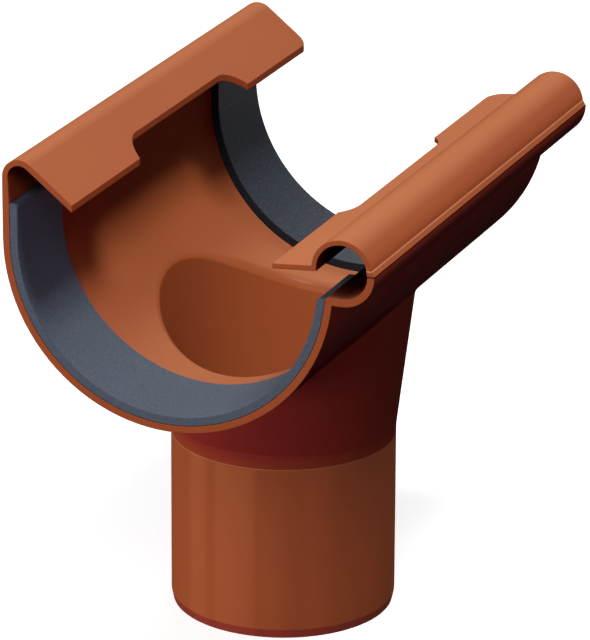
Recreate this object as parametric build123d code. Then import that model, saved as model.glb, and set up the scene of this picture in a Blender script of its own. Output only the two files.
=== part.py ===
from build123d import *
import math
import os

# A rainwater outlet for a half-round plastic gutter, in millimetres.
# X points from the wall side of the gutter to its front bead, Y runs along the gutter and Z is up.
# The origin is on the outlet's axis, in the plane of the spigot's lower end.

# What the outlet fits
gutter_diameter = 125.0     # outside of the half-round gutter that lies in it
downpipe_diameter = 90.0    # outside of the spigot, which goes into the downpipe's socket
seal_squeeze = 1.0          # how far the gutter presses into the seals

# Trough
length = 222.0              # from end to end along the gutter
wall = 2.8                  # trough, channel, funnel and spigot
axis_height = 179.0         # gutter's axis above the spigot's lower end

# Hook along the rear edge
hook_wall = 2.3             # rolled edge and flap
hook_roll_radius = 7.3      # outside of the rolled edge
hook_roll_rise = 24.5       # centre of the roll above the gutter's axis
hook_flap_slope = 37.5      # degrees that the flap falls towards the front
hook_flap_reach = 29.1      # flap's free edge in front of the trough's rear face
hook_notch_depth = 7.7      # notch in the middle of that edge
hook_notch_half = 38.5      # half the length of its straight root
hook_corner_radius = 4.0    # the flap's corner at the far end

# Bead along the front edge, a tube made of a lower channel and a thinner cover
bead_overhang = 3.4         # bead's axis in front of the trough's outer radius
bead_rise = 6.5             # channel's axis above the gutter's axis
channel_radius = 13.2       # outside of the channel
cover_lift = 0.7            # cover's axis above the channel's
cover_radius = 12.0         # outside of the cover
cover_wall = 1.9            # cover and its flap
shoulder_rise = 1.5         # top of the sloped shoulder above the cover's axis
ridge_radius = 1.0          # rounding where the trough's wall turns out into the channel
bead_flap_drop = 1.3        # underside of the flap below the cover's axis, inside the cover
bead_flap_slope = 5.0       # degrees that the flap falls towards the rear
bead_flap_reach = 27.7      # flap's free edge behind the bead's axis
bead_notch_depth = 4.8
bead_notch_half = 38.2
bead_corner_radius = 7.0    # the flap's corner at the far end
notch_radius = 14.0         # arcs at both ends of each notch

# Funnel and spigot
spigot_length = 75.0        # up to where the funnel starts
funnel_mouth_drop = 30.0    # below the gutter's axis, where the oval mouth is measured
funnel_side_inset = 15.2    # the oval's sides inside the trough's outer radius
funnel_half_length = 65.0   # half of the oval along the gutter
drain_lip_radius = 5.0      # rounded edge of the drain hole inside the trough
funnel_root_radius = 3.0    # outside, where the funnel leaves the trough
neck_radius = 28.0          # soft bend between funnel and spigot
chamfer_height = 3.7        # long chamfer round the spigot's lower end
chamfer_depth = 0.8

# Seals, one glued into each end of the trough
seal_thickness = 3.4
seal_width = 38.0
seal_rear_rise = 14.0       # rear end above the gutter's axis
seal_end_radius = 1.2       # rounding of both ends
seal_cut_width = 8.5        # corner cut off the front end, on the side away from the trough's end
seal_cut_height = 12.0      # along the seal, measured upright

# Worked out from the sizes above
seal_inner_radius = gutter_diameter / 2 - seal_squeeze
trough_inner_radius = seal_inner_radius + seal_thickness
trough_outer_radius = trough_inner_radius + wall
spigot_radius = downpipe_diameter / 2
hook_flap_edge = trough_outer_radius - hook_flap_reach
bead_offset = trough_outer_radius + bead_overhang
bead_flap_edge = bead_offset - bead_flap_reach
funnel_half_width = trough_outer_radius - funnel_side_inset
neck_height = spigot_length - axis_height
channel_floor = bead_rise - channel_radius + wall
seal_front = channel_floor - ridge_radius
cover_rise = bead_rise + cover_lift


def on_circle(radius, z):
    """Point at height z on the front half of a circle about the gutter's axis."""
    return (math.sqrt(radius**2 - z**2), z)


def arc_point(center, radius, degrees):
    """Point on a circle, with its angle counted up from the front."""
    angle = math.radians(degrees)
    return (center[0] + radius * math.cos(angle), center[1] + radius * math.sin(angle))


def down_slope(start, x, degrees):
    """Point at x on the line that falls from start towards the front."""
    return (x, start[1] - (x - start[0]) * math.tan(math.radians(degrees)))


def body_section():
    """Section of the trough with its rear hook and its front bead, as one bent wall."""
    roll = (hook_roll_radius - trough_outer_radius, hook_roll_rise)
    roll_inner_radius = hook_roll_radius - hook_wall
    flap_normal = 90 - hook_flap_slope
    flap_top_start = arc_point(roll, hook_roll_radius, flap_normal)
    flap_under_start = arc_point(roll, roll_inner_radius, flap_normal)
    flap_top_end = down_slope(flap_top_start, -hook_flap_edge, hook_flap_slope)
    flap_under_end = down_slope(flap_under_start, -hook_flap_edge, hook_flap_slope)
    roll_middle = 90 + flap_normal / 2

    channel = (bead_offset, bead_rise)
    cover = (bead_offset, cover_rise)
    cover_inner_radius = cover_radius - cover_wall
    channel_inner_radius = channel_radius - wall
    kink = on_circle(trough_outer_radius, bead_rise - channel_radius)
    ridge = on_circle(trough_inner_radius, channel_floor)
    cover_left = arc_point(cover, cover_inner_radius, 180)
    shoulder = arc_point(cover, cover_radius, math.degrees(math.asin(shoulder_rise / cover_radius)))
    bead_flap_root = (cover_left[0], cover_rise - bead_flap_drop)
    bead_flap_under_end = down_slope(bead_flap_root, bead_flap_edge, -bead_flap_slope)
    bead_flap_top_end = (bead_flap_edge, bead_flap_under_end[1] + cover_wall)
    cover_foot = (cover_left[0] - cover_wall, bead_flap_root[1] + cover_wall)

    with BuildSketch() as section:
        with BuildLine():
            # outside of the trough, from the kink in front to the rolled edge at the rear
            ThreePointArc(kink, (0, -trough_outer_radius), (-trough_outer_radius, 0))
            Line((-trough_outer_radius, 0), (-trough_outer_radius, hook_roll_rise))
            ThreePointArc((-trough_outer_radius, hook_roll_rise),
                          arc_point(roll, hook_roll_radius, roll_middle), flap_top_start)
            # the hook's flap, out along its top and back below
            Polyline(flap_top_start, flap_top_end, flap_under_end, flap_under_start)
            ThreePointArc(flap_under_start, arc_point(roll, roll_inner_radius, roll_middle),
                          (hook_wall - trough_outer_radius, hook_roll_rise))
            # inside of the trough, down and up again to the ridge in front
            Polyline((hook_wall - trough_outer_radius, hook_roll_rise), (-trough_inner_radius, seal_rear_rise),
                     (-trough_inner_radius, 0))
            ThreePointArc((-trough_inner_radius, 0), (0, -trough_inner_radius), ridge)
            # inside of the bead, round to its flap
            Line(ridge, (bead_offset, channel_floor))
            ThreePointArc((bead_offset, channel_floor), arc_point(channel, channel_inner_radius, -45),
                          arc_point(channel, channel_inner_radius, 0))
            Line(arc_point(channel, channel_inner_radius, 0), arc_point(cover, cover_inner_radius, 0))
            ThreePointArc(arc_point(cover, cover_inner_radius, 0), arc_point(cover, cover_inner_radius, 90),
                          cover_left)
            Polyline(cover_left, bead_flap_root, bead_flap_under_end, bead_flap_top_end, cover_foot)
            # outside of the bead, over the top, down the shoulder and back to the kink
            ThreePointArc(cover_foot, arc_point(cover, cover_radius, 90), shoulder)
            Line(shoulder, arc_point(channel, channel_radius, 0))
            ThreePointArc(arc_point(channel, channel_radius, 0), arc_point(channel, channel_radius, -45),
                          arc_point(channel, channel_radius, -90))
            Line(arc_point(channel, channel_radius, -90), kink)
        make_face()
        fillet(section.vertices().sort_by_distance(ridge)[0], ridge_radius)
    return Plane.XZ * section.sketch


def seal_section():
    """Section of a seal: a band on the trough's inner wall, from the ridge to the rear wall."""
    front_outer = on_circle(trough_inner_radius, seal_front)
    front_inner = on_circle(seal_inner_radius, seal_front)
    rear_inner = (-seal_inner_radius, seal_rear_rise)
    with BuildSketch() as section:
        with BuildLine():
            ThreePointArc(front_outer, (0, -trough_inner_radius), (-trough_inner_radius, 0))
            Polyline((-trough_inner_radius, 0), (-trough_inner_radius, seal_rear_rise), rear_inner,
                     (-seal_inner_radius, 0))
            ThreePointArc((-seal_inner_radius, 0), (0, -seal_inner_radius), front_inner)
            Line(front_inner, front_outer)
        make_face()
        for corner in (front_inner, rear_inner):
            fillet(section.vertices().sort_by_distance(corner)[0], seal_end_radius)
    return Plane.XZ * section.sketch


def notch(flap_edge, depth, straight_half, into_flap):
    """Cutter for the notch in a flap's free edge, with an arc at each end of its straight root."""
    root = flap_edge + into_flap * depth
    beyond = flap_edge - into_flap * depth
    turn = math.acos((notch_radius - depth) / notch_radius)
    arc_middle = (root - into_flap * notch_radius * (1 - math.cos(turn / 2)),
                  straight_half + notch_radius * math.sin(turn / 2))
    mouth = (flap_edge, straight_half + notch_radius * math.sin(turn))
    with BuildSketch() as plan:
        with BuildLine():
            Line((root, 0), (root, straight_half))
            ThreePointArc((root, straight_half), arc_middle, mouth)
            Polyline(mouth, (beyond, mouth[1]), (beyond, 0), (root, 0))
        make_face()
        mirror(about=Plane.XZ)
    return extrude(plan.sketch, hook_roll_rise + hook_roll_radius)


def far_corner(flap_edge, radius, into_flap):
    """Cutter that rounds a flap's corner at the far end."""
    blank = Pos(flap_edge + into_flap * radius / 2, (length - radius) / 2) * Rectangle(radius, radius)
    rounding = Pos(flap_edge + into_flap * radius, length / 2 - radius) * Circle(radius)
    return extrude(blank - rounding, hook_roll_rise + hook_roll_radius)


def funnel(inset):
    """Solid oval funnel that narrows to the round spigot, smaller by inset all round."""
    mouth = Pos(0, 0, -funnel_mouth_drop) * Ellipse(funnel_half_width - inset, funnel_half_length - inset)
    neck = Pos(0, 0, neck_height) * Circle(spigot_radius - inset)
    return loft([neck, mouth])


def spigot():
    """Solid round spigot with the chamfer at its lower end."""
    round_length = spigot_length - chamfer_height
    rod = Pos(0, 0, neck_height - round_length / 2) * Cylinder(spigot_radius, round_length)
    tip = Pos(0, 0, chamfer_height / 2 - axis_height) * Cone(spigot_radius - chamfer_depth, spigot_radius,
                                                             chamfer_height)
    return rod + tip


def outlet_body():
    """The moulding: trough, hook, bead, funnel and spigot in one piece."""
    trough = extrude(body_section(), length / 2, both=True)
    trough_space = Rot(90, 0, 0) * Cylinder(trough_inner_radius, length)
    bore = Pos(0, 0, neck_height - spigot_length / 2) * Cylinder(spigot_radius - wall, spigot_length)
    shell = trough + (funnel(0) - trough_space) + spigot()
    body = shell - funnel(wall) - bore

    neck = body.edges().filter_by_position(Axis.Z, neck_height, neck_height)
    body = fillet(neck, neck_radius)
    body = fillet(funnel_joint(body, trough_outer_radius), funnel_root_radius)
    body = fillet(funnel_joint(body, trough_inner_radius), drain_lip_radius)

    body -= far_corner(-hook_flap_edge, hook_corner_radius, -1)
    body -= far_corner(bead_flap_edge, bead_corner_radius, 1)
    body -= notch(-hook_flap_edge, hook_notch_depth, hook_notch_half, -1)
    body -= notch(bead_flap_edge, bead_notch_depth, bead_notch_half, 1)
    return body


def funnel_joint(body, trough_radius):
    """Edge where the funnel meets the trough's wall of this radius."""
    return [edge for edge in body.edges().filter_by(GeomType.BSPLINE)
            if math.isclose(edge.bounding_box().min.Z, -trough_radius, abs_tol=0.01)]


def end_seal(side):
    """Seal in one end of the trough, flush with the end. Side is -1 for the near end and 1 for the far."""
    band = extrude(seal_section(), seal_width / 2, both=True)
    inner_side = -side * seal_width / 2
    corner = Plane.YZ * Polygon((inner_side, seal_front), (inner_side + side * seal_cut_width, seal_front),
                                (inner_side, seal_front - seal_cut_height), align=None)
    band -= extrude(corner, trough_outer_radius, dir=(1, 0, 0))
    return Pos(0, side * (length - seal_width) / 2, 0) * band


nodes = {
    "outlet_body": outlet_body(),
    "near_seal": end_seal(-1),
    "far_seal": end_seal(1),
}

os.makedirs("parts", exist_ok=True)
for name, solid in nodes.items():
    export_step(Pos(0, 0, axis_height) * solid, f"parts/{name}.step")
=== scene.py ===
# %% [markdown]
# # A rainwater outlet for a half-round gutter
# The real part is one injection-moulded PVC piece with a strip of rubber glued into each end. Its
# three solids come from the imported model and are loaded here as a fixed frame. This script gives
# them the surfaces of the real part, and sets up the floor, the lights and the camera around them.

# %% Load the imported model
import math

import bpy
from mathutils import Matrix, Vector


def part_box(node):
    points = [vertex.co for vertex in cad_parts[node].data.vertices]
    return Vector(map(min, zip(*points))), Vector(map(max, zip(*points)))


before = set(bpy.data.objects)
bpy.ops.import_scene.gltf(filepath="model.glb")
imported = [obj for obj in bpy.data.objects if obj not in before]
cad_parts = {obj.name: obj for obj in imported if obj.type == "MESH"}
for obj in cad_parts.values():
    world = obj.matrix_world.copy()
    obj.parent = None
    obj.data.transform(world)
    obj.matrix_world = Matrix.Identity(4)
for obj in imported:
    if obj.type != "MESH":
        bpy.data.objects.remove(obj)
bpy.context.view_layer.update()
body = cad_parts["outlet_body"]
seals = [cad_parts[name] for name in ("near_seal", "far_seal")]
print("nodes:", sorted(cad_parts))

# %% [markdown]
# ## Sizes that the finishes depend on
# The spigot stands on the floor with its axis on the origin, and the gutter's axis runs along Y
# above it. The sizes could be typed in again, but a seal lies on the trough's inner wall, so the
# seal's own box gives the radius of that wall and the height of the gutter's axis. Reading them
# here keeps the patterns in place if the solids change.

# %% Read the sizes from the frame
MILLIMETRE = 0.001
seal_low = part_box("near_seal")[0]
trough_inner_radius = -seal_low.x
axis_height = seal_low.z + trough_inner_radius
body_low, body_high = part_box("outlet_body")
print(f"gutter's axis {axis_height:.4f} m above the floor")
print(f"trough's inner radius {trough_inner_radius:.4f} m")
print("moulding's size in metres:", [round(side, 4) for side in body_high - body_low])


# %% [markdown]
# ## Building materials from nodes
# A material is a small network. Designers write colours as sRGB hex, but light adds up in linear
# values, so one function converts them. Another adds a node, sets what it is given and links its
# inputs, so that each material below reads like a recipe. A noise texture repeats once per unit at
# scale 1, so the third turns a real size in millimetres into its scale.

# %% Helpers for materials
def linear(hex_colour):
    """sRGB hex to linear red, green, blue and alpha."""
    channels = [int(hex_colour[i:i + 2], 16) / 255 for i in (1, 3, 5)]
    return [c / 12.92 if c <= 0.04045 else ((c + 0.055) / 1.055) ** 2.4 for c in channels] + [1.0]


def add_node(tree, kind, settings=None, **inputs):
    """Adds a node. A value goes onto its socket, and another node's socket is linked to it."""
    node = tree.nodes.new(kind)
    for name, value in (settings or {}).items():
        setattr(node, name, value)
    for name, value in inputs.items():
        numbered = name[0] == "_" and name[1:].isdigit()
        socket = node.inputs[int(name[1:]) if numbered else name.replace("_", " ")]
        if isinstance(value, bpy.types.NodeSocket):
            tree.links.new(value, socket)
        else:
            socket.default_value = value
    return node


def per_metre(millimetres):
    """Texture scale at which one patch of a pattern is this large."""
    return 1 / (millimetres * MILLIMETRE)


def new_material(name):
    """An empty node material with its output node."""
    material = bpy.data.materials.new(name)
    material.use_nodes = True
    material.node_tree.nodes.clear()
    output = add_node(material.node_tree, "ShaderNodeOutputMaterial")
    return material, material.node_tree, output


def dress(piece, material):
    """Gives every slot of a solid one material."""
    piece.data.materials.clear()
    piece.data.materials.append(material)
    print(f"{piece.name}: {material.name}")


# %% [markdown]
# ## Moulded PVC: the ground colour with painted shade
# Rigid PVC for rainwater parts is coloured right through with a brick-brown pigment. Painted
# shade is laid over it by which way the surface faces: what faces the sky is painted paler, as
# if lit from above, and what faces the ground is painted a deep maroon, where no direct light
# reaches. Each face could be given its own material, but the part has soft blends and no sharp
# borders, so the colour follows the height part of the surface's own normal, through a colour
# ramp. Its stops run from the painted shade of what faces straight down to the painted light of
# what faces straight up, all red-browns of the same plastic.

# %% PVC painted shade by which way the surface faces
pvc, tree, output = new_material("injection_moulded_pvc")
place = add_node(tree, "ShaderNodeTexCoord").outputs["Object"]
surface_facts = add_node(tree, "ShaderNodeNewGeometry")
facing = add_node(tree, "ShaderNodeSeparateXYZ", Vector=surface_facts.outputs["Normal"])
upward = add_node(tree, "ShaderNodeMapRange", Value=facing.outputs["Z"], _1=-1.0, _2=1.0)
# Painted shade and light: darker where the normal points down, paler where it points up.
painted_facing_shade = add_node(tree, "ShaderNodeValToRGB", _0=upward.outputs[0])
ramp = painted_facing_shade.color_ramp.elements
ramp[0].color = linear("#480D14")
ramp[1].color = linear("#9F5F3F")
SIDEWAYS = 0.5
for position, shade in ((0.30, "#64121C"), (0.42, "#8A2E26"), (SIDEWAYS, "#914727"),
                        (0.66, "#A55732"), (0.85, "#925033")):
    ramp.new(position).color = linear(shade)
print("colour stops:", [round(stop.position, 2) for stop in ramp])

# %% [markdown]
# ## Moulded PVC: drift and streaks
# The tone of a moulding drifts a little over a hand's breadth, because the melt cools unevenly,
# and faint flow streaks run up the spigot. Both are noise patterns on Object coordinates, so they
# stay on the part: one has patches of 70 mm, and the other is squeezed sideways into upright
# streaks 5 mm wide. They only dim the colour by a few parts in a hundred, as on the real plastic.

# %% PVC tone
STREAK_SHARE = 0.3
drift = add_node(tree, "ShaderNodeTexNoise", Vector=place, Scale=per_metre(70), Detail=2.0,
                 Roughness=0.5)
upright = add_node(tree, "ShaderNodeMapping", Vector=place, Scale=(1.0, 1.0, 0.04))
streaks = add_node(tree, "ShaderNodeTexNoise", Vector=upright.outputs[0], Scale=per_metre(5),
                   Detail=1.0)
tone = add_node(tree, "ShaderNodeMath", {"operation": "MULTIPLY_ADD"}, _0=streaks.outputs[0],
                _1=STREAK_SHARE, _2=drift.outputs[0])
toned = add_node(tree, "ShaderNodeMix", {"data_type": "RGBA", "blend_type": "MULTIPLY"},
                 _0=tone.outputs[0], _6=painted_facing_shade.outputs[0], _7=linear("#F4F0EE"))
print("tone patterns:", drift.name, streaks.name)

# %% [markdown]
# ## Moulded PVC: painted shade in cavities
# Narrow cavities such as the hook and the bead's tube lie in shade, and that shade is painted into
# the colour. It could be painted on a map of the surface, but the Ambient Occlusion node finds them
# by itself: it measures how much of the surroundings within 70 mm a point can see. A second ramp
# paints darker shade on what sees little. Its middle is reddish, so the painted shade turns deep
# red before it turns nearly black.

# %% PVC painted cavity shade
CLOSED_IN = 0.22
OPEN_ENOUGH = 0.56
openness = add_node(tree, "ShaderNodeAmbientOcclusion", {"samples": 8, "only_local": True},
                    Distance=70 * MILLIMETRE)
open_share = add_node(tree, "ShaderNodeMapRange", Value=openness.outputs["AO"], _1=CLOSED_IN,
                      _2=OPEN_ENOUGH, _3=0.0, _4=1.0)
# Painted shade: what sees little of its surroundings is darkened, deep red to nearly black.
shade = add_node(tree, "ShaderNodeValToRGB", _0=open_share.outputs[0])
ramp = shade.color_ramp.elements
ramp[0].color = linear("#2C0E18")
ramp[1].color = linear("#FFFFFF")
ramp.new(0.5).color = linear("#B88890")
colour_with_painted_shade = add_node(tree, "ShaderNodeMix", {"data_type": "RGBA", "blend_type": "MULTIPLY"},
                       _0=1.0, _6=toned.outputs[2], _7=shade.outputs["Color"])
print(f"darker below an openness of {OPEN_ENOUGH}, darkest at {CLOSED_IN}")

# %% [markdown]
# ## Moulded PVC: the fine lines
# Thin lines are drawn on the part. A ring round the top of the spigot marks where two mould
# inserts meet, and it is drawn lighter, a painted highlight of the light that seam catches. Along
# the bead there is a dark hairline where its cover is welded onto its channel, and above it a pale
# line is a painted highlight along the cover's sharp edge. All are thinner than a millimetre. A
# groove or edge of that width would need very fine geometry, so they are drawn in colour, from the
# place of each point: a line is where the height is right, on the spigot or on the bead's outer
# side.

# %% PVC lines
SPIGOT_RADIUS = 45.0 * MILLIMETRE
RING_HEIGHT = 72.0 * MILLIMETRE
BEAD_SIDE = 81.0 * MILLIMETRE
WELD_HEIGHT = axis_height + 6.5 * MILLIMETRE
EDGE_HIGHLIGHT_HEIGHT = axis_height + 8.7 * MILLIMETRE
split = add_node(tree, "ShaderNodeSeparateXYZ", Vector=place)
flat = add_node(tree, "ShaderNodeCombineXYZ", X=split.outputs["X"], Y=split.outputs["Y"])
around = add_node(tree, "ShaderNodeVectorMath", {"operation": "LENGTH"}, _0=flat.outputs[0])
on_spigot = add_node(tree, "ShaderNodeMath", {"operation": "COMPARE"}, _0=around.outputs["Value"],
                     _1=SPIGOT_RADIUS, _2=1.0 * MILLIMETRE)
on_bead = add_node(tree, "ShaderNodeMath", {"operation": "GREATER_THAN"}, _0=split.outputs["X"],
                   _1=BEAD_SIDE)
lined = colour_with_painted_shade
for name, height, half_width, area, colour in (
        ("weld", WELD_HEIGHT, 0.3 * MILLIMETRE, on_bead, "#3A120B"),
        # a real seam, its lighter colour a painted highlight
        ("ring", RING_HEIGHT, 0.25 * MILLIMETRE, on_spigot, "#A55F3E"),
        # a painted highlight along the cover's sharp edge
        ("edge", EDGE_HIGHLIGHT_HEIGHT, 0.3 * MILLIMETRE, on_bead, "#BE7C58")):
    at_height = add_node(tree, "ShaderNodeMath", {"operation": "COMPARE"}, _0=split.outputs["Z"],
                         _1=height, _2=half_width)
    line = add_node(tree, "ShaderNodeMath", {"operation": "MULTIPLY"}, _0=at_height.outputs[0],
                    _1=area.outputs[0])
    lined = add_node(tree, "ShaderNodeMix", {"data_type": "RGBA"}, _0=line.outputs[0],
                     _6=lined.outputs[2], _7=linear(colour))
    print(f"{name}: {height:.4f} m above the floor")

# %% [markdown]
# ## Moulded PVC: gloss
# Most of what leaves the plastic is its matte colour. The polished mould leaves a satin skin,
# which adds a weak, broad sheen. The Principled shader has such a sheen, but it grows into a
# mirror at shallow angles, and the fine grain of this skin scatters that. So its own is switched
# off, and a gloss is mixed in by a small fixed share. The Bevel node rounds every edge by half a
# millimetre for the light alone, as the mould does, and a bump with patches of 1.5 mm gives the
# slight unevenness of moulded PVC.

# %% PVC skin
SHEEN_SHARE = 0.004
rounded = add_node(tree, "ShaderNodeBevel", {"samples": 6}, Radius=0.5 * MILLIMETRE)
grain = add_node(tree, "ShaderNodeTexNoise", Vector=place, Scale=per_metre(1.5), Detail=2.0)
skin = add_node(tree, "ShaderNodeBump", Strength=0.12, Distance=0.02 * MILLIMETRE,
                Height=grain.outputs[0], Normal=rounded.outputs[0])
plastic = add_node(tree, "ShaderNodeBsdfPrincipled", Base_Color=lined.outputs[2], Roughness=0.55,
                   IOR=1.53, Specular_IOR_Level=0.0, Normal=skin.outputs[0])
sheen = add_node(tree, "ShaderNodeBsdfAnisotropic", Color=linear("#FFE6BE"), Roughness=0.3,
                 Normal=skin.outputs[0])
satin = add_node(tree, "ShaderNodeMixShader", _0=SHEEN_SHARE, _1=plastic.outputs[0],
                 _2=sheen.outputs[0])
print(f"{plastic.name} with {SHEEN_SHARE:.1%} of {sheen.name}")

# %% [markdown]
# ## Moulded PVC: the spigot's drawn gloss
# The spigot leaves its mould upwards, and the rub draws its sheen out along its height. Scratches
# could be drawn one by one, but they are too fine to see, so an anisotropic gloss stands for them
# all: its Tangent runs round the Z axis, so a softbox shows in the spigot as an upright band with
# crisp sides. It covers the spigot below the ring alone, where the mould slides.

# %% PVC spigot
DRAWN_SHARE = 0.035
below_ring = add_node(tree, "ShaderNodeMath", {"operation": "LESS_THAN"}, _0=split.outputs["Z"],
                      _1=RING_HEIGHT)
drawn_area = add_node(tree, "ShaderNodeMath", {"operation": "MULTIPLY"}, _0=below_ring.outputs[0],
                      _1=on_spigot.outputs[0])
drawn_share = add_node(tree, "ShaderNodeMath", {"operation": "MULTIPLY"}, _0=drawn_area.outputs[0],
                       _1=DRAWN_SHARE)
round_axis = add_node(tree, "ShaderNodeTangent", {"direction_type": "RADIAL", "axis": "Z"})
drawn = add_node(tree, "ShaderNodeBsdfAnisotropic", Color=linear("#FFA070"), Roughness=0.3,
                 Anisotropy=0.75, Normal=rounded.outputs[0], Tangent=round_axis.outputs[0])
surface = add_node(tree, "ShaderNodeMixShader", _0=drawn_share.outputs[0], _1=satin.outputs[0],
                   _2=drawn.outputs[0])
tree.links.new(surface.outputs[0], output.inputs[0])
dress(body, pvc)

# %% [markdown]
# ## EPDM rubber seals: patterns
# The seals are strips of EPDM, a matte rubber filled with carbon black and chalk, which makes it a
# bluish grey. Its extruded face has a fine grain, and talc leaves paler specks. A photographed
# strip could be wrapped on, but two noise patterns say the same and never run out at an end. The
# real grain is finer than the render can show, so it is drawn with patches of 0.8 mm, and the
# specks with 0.5 mm. The strip's outer edge sits against the PVC in a line of adhesive, where no
# light gets in, so points within 0.3 mm of that wall are picked out by their distance from the
# gutter's axis, or from the upright through it where the wall runs straight up.

# %% Rubber patterns
GLUE_LINE = 0.3 * MILLIMETRE
rubber, tree, output = new_material("epdm_rubber")
place = add_node(tree, "ShaderNodeTexCoord").outputs["Object"]
grain = add_node(tree, "ShaderNodeTexNoise", Vector=place, Scale=per_metre(0.8), Detail=3.0,
                 Roughness=0.6)
specks = add_node(tree, "ShaderNodeTexNoise", Vector=place, Scale=per_metre(0.5), Detail=1.0)
speck_share = add_node(tree, "ShaderNodeMapRange", Value=specks.outputs[0], _1=0.64, _2=0.76,
                       _3=0.0, _4=0.5)
split = add_node(tree, "ShaderNodeSeparateXYZ", Vector=place)
height = add_node(tree, "ShaderNodeMath", {"operation": "SUBTRACT"}, _0=split.outputs["Z"],
                  _1=axis_height)
below = add_node(tree, "ShaderNodeMath", {"operation": "MINIMUM"}, _0=height.outputs[0], _1=0.0)
section = add_node(tree, "ShaderNodeCombineXYZ", X=split.outputs["X"], Z=below.outputs[0])
out = add_node(tree, "ShaderNodeVectorMath", {"operation": "LENGTH"}, _0=section.outputs[0])
glue_line = add_node(tree, "ShaderNodeMath", {"operation": "GREATER_THAN"}, _0=out.outputs["Value"],
                     _1=trough_inner_radius - GLUE_LINE)
near_strip = add_node(tree, "ShaderNodeMath", {"operation": "LESS_THAN"}, _0=split.outputs["Y"],
                      _1=0.0)
print("rubber patterns:", grain.name, specks.name)

# %% [markdown]
# ## EPDM rubber seals: surface
# Rubber is dull but not dead: a rough surface with a little specular keeps a soft light on it,
# and the bump lets the grain catch that light. The far strip is painted darker than the near one,
# as painted shade for the less light that reaches it. Two materials could say that, but one with
# the strip's own place as a switch keeps both alike in all else.

# %% Rubber surface
# Painted shade: the far strip's colour is multiplied by a grey, the near strip's by white.
painted_strip_shade = add_node(tree, "ShaderNodeMix", {"data_type": "RGBA"}, _0=near_strip.outputs[0],
                _6=linear("#85878F"), _7=linear("#FFFFFF"))
grained = add_node(tree, "ShaderNodeMix", {"data_type": "RGBA"}, _0=grain.outputs[0],
                   _6=linear("#2C333C"), _7=linear("#515865"))
grained_with_strip_shade = add_node(tree, "ShaderNodeMix", {"data_type": "RGBA", "blend_type": "MULTIPLY"}, _0=1.0,
                    _6=grained.outputs[2], _7=painted_strip_shade.outputs[2])
speckled = add_node(tree, "ShaderNodeMix", {"data_type": "RGBA"}, _0=speck_share.outputs[0],
                    _6=grained_with_strip_shade.outputs[2], _7=linear("#747B88"))
edged = add_node(tree, "ShaderNodeMix", {"data_type": "RGBA"}, _0=glue_line.outputs[0],
                 _6=speckled.outputs[2], _7=linear("#14161A"))
rounded = add_node(tree, "ShaderNodeBevel", {"samples": 6}, Radius=0.6 * MILLIMETRE)
rough = add_node(tree, "ShaderNodeBump", Strength=0.35, Distance=0.05 * MILLIMETRE,
                 Height=grain.outputs[0], Normal=rounded.outputs[0])
face = add_node(tree, "ShaderNodeBsdfPrincipled", Base_Color=edged.outputs[2], Roughness=0.72,
                IOR=1.5, Specular_IOR_Level=0.12, Normal=rough.outputs[0])
tree.links.new(face.outputs[0], output.inputs[0])
for seal in seals:
    dress(seal, rubber)


# %% [markdown]
# ## Floor
# The part stands on plain white paper. Seen by the camera, in gloss or through something clear,
# the paper has to come out as pure white apart from the part's shadow. More light would do it, but
# would wash out the part, so there the paper's own white is helped by a soft glow. The glow grows
# with the distance from the part, where the lamps hardly reach, so that the far floor melts into
# the white behind it. For all other light the paper is a dim grey, so that the floor doesn't light
# the part from below.

# %% Floor
def seen_directly(tree):
    """Share that is 1 for what the camera sees, also in gloss or through something clear."""
    path = add_node(tree, "ShaderNodeLightPath")
    share = path.outputs["Is Camera Ray"]
    for ray in ("Is Glossy Ray", "Is Transmission Ray"):
        share = add_node(tree, "ShaderNodeMath", {"operation": "MAXIMUM"}, _0=share,
                         _1=path.outputs[ray]).outputs[0]
    return share


bpy.ops.object.select_all(action="DESELECT")
bpy.ops.mesh.primitive_plane_add(size=8, location=(0, 0, 0))
floor = bpy.context.object
floor.name = "floor"
paper, tree, output = new_material("white_studio_paper")
dull = add_node(tree, "ShaderNodeBsdfDiffuse", Color=linear("#262626"))
matte = add_node(tree, "ShaderNodeBsdfDiffuse", Color=linear("#BCBCBC"))
spot = add_node(tree, "ShaderNodeTexCoord").outputs["Object"]
reach = add_node(tree, "ShaderNodeVectorMath", {"operation": "LENGTH"}, _0=spot)
strength = add_node(tree, "ShaderNodeMapRange", Value=reach.outputs["Value"], _1=0.4, _2=1.4,
                    _3=0.75, _4=1.0)
glow = add_node(tree, "ShaderNodeEmission", Color=linear("#FFFFFF"), Strength=strength.outputs[0])
bright = add_node(tree, "ShaderNodeAddShader", _0=matte.outputs[0], _1=glow.outputs[0])
mix = add_node(tree, "ShaderNodeMixShader", _0=seen_directly(tree), _1=dull.outputs[0],
               _2=bright.outputs[0])
tree.links.new(mix.outputs[0], output.inputs[0])
dress(floor, paper)

# %% [markdown]
# ## World
# Beyond the floor's edge the camera and the gloss see white too. As light the world gives hardly
# anything: the deep shadows under the part only come out when little light arrives from all around.

# %% World
world = bpy.data.worlds.new("studio")
bpy.context.scene.world = world
world.use_nodes = True
tree = world.node_tree
tree.nodes.clear()
output = add_node(tree, "ShaderNodeOutputWorld")
dim = add_node(tree, "ShaderNodeBackground", Color=linear("#FFFFFF"), Strength=0.01)
white = add_node(tree, "ShaderNodeBackground", Color=linear("#FFFFFF"), Strength=1.0)
mix = add_node(tree, "ShaderNodeMixShader", _0=seen_directly(tree), _1=dim.outputs[0],
               _2=white.outputs[0])
tree.links.new(mix.outputs[0], output.inputs[0])
print("world:", world.name)


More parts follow.
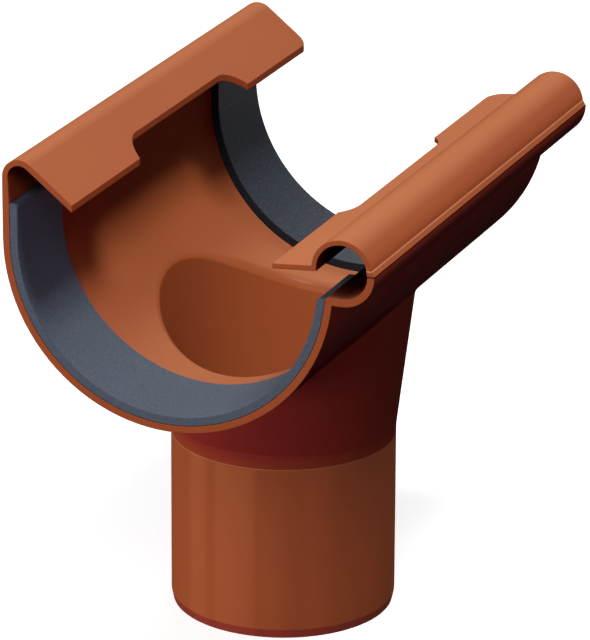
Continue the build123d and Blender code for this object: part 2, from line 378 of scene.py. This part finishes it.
# %% [markdown]
# ## Lights
# Softboxes are placed as in a product studio, each by its direction from the part. The key light
# hangs high on the right: it lights the tops and the trough, and lets the hook throw its shadow
# down the rear wall. A weaker one fills in from the front, a wide low one at the front left stands
# in the spigot as its pale band, another lights its left edge, and one behind gives the tops their
# sheen. From the right comes only a weak rosy fill, which keeps the funnel and the bead's underside
# dark maroon. Directions count from the front, -Y, towards the right, +X. Sizes are in metres.

# %% Lights
LAMP_DISTANCE = 1.4
PART_CENTRE = Vector((0, 0, 0.15))


def softbox(name, azimuth, elevation, width, height, watts, colour="#FFFFFF"):
    """An area light in a direction given in degrees, which is aimed at the part."""
    a, e = math.radians(azimuth), math.radians(elevation)
    data = bpy.data.lights.new(name, "AREA")
    data.shape = "RECTANGLE"
    data.size = width
    data.size_y = height
    data.energy = watts
    data.color = linear(colour)[:3]
    lamp = bpy.data.objects.new(name, data)
    bpy.context.scene.collection.objects.link(lamp)
    towards = Vector((math.sin(a) * math.cos(e), -math.cos(a) * math.cos(e), math.sin(e)))
    lamp.location = PART_CENTRE + towards * LAMP_DISTANCE
    lamp.rotation_euler = (-towards).to_track_quat("-Z", "Y").to_euler()
    print(f"{name}: {watts} W from {azimuth}, {elevation} degrees")


softbox("high_right", 75, 74, 0.4, 0.4, 21.5)
softbox("front_above", 10, 40, 0.5, 0.5, 7.5)
softbox("low_front_left", -26, 2, 1.1, 0.26, 11.5)
softbox("low_left", -70, 5, 0.55, 0.55, 7.5)
softbox("low_right", 58, 5, 0.55, 0.55, 1.7, "#FF80E0")
softbox("back", 192, 24, 0.9, 0.5, 8.0)

# %% [markdown]
# ## Camera
# The photograph was taken from far away with a long lens, which keeps the trough's two ends nearly
# the same size. Its place was solved from the part's outline in the photograph, so the direction,
# the distance and the lens go together. The camera is placed along its own line of sight and needs
# no shift.

# %% Camera
VIEW_AZIMUTH = math.radians(23.398)
VIEW_ELEVATION = math.radians(20.7196)
VIEW_ROLL = math.radians(0.306)
VIEW_DISTANCE = 1.96525
VIEW_AIM = Vector((0.00394, 0.0017, 0.11797))
VIEW_LENS = 302.65
look = Vector((-math.sin(VIEW_AZIMUTH) * math.cos(VIEW_ELEVATION),
               math.cos(VIEW_AZIMUTH) * math.cos(VIEW_ELEVATION), -math.sin(VIEW_ELEVATION)))
camera_data = bpy.data.cameras.new("camera")
camera_data.sensor_fit = "HORIZONTAL"
camera_data.sensor_width = 36
camera_data.lens = VIEW_LENS
camera = bpy.data.objects.new("camera", camera_data)
bpy.context.scene.collection.objects.link(camera)
camera.location = VIEW_AIM - look * VIEW_DISTANCE
turn = look.to_track_quat("-Z", "Y").to_matrix() @ Matrix.Rotation(VIEW_ROLL, 3, "Z")
camera.rotation_euler = turn.to_euler()
bpy.context.scene.camera = camera
bpy.context.scene.view_settings.view_transform = "Standard"
print("camera at", [round(value, 4) for value in camera.location])
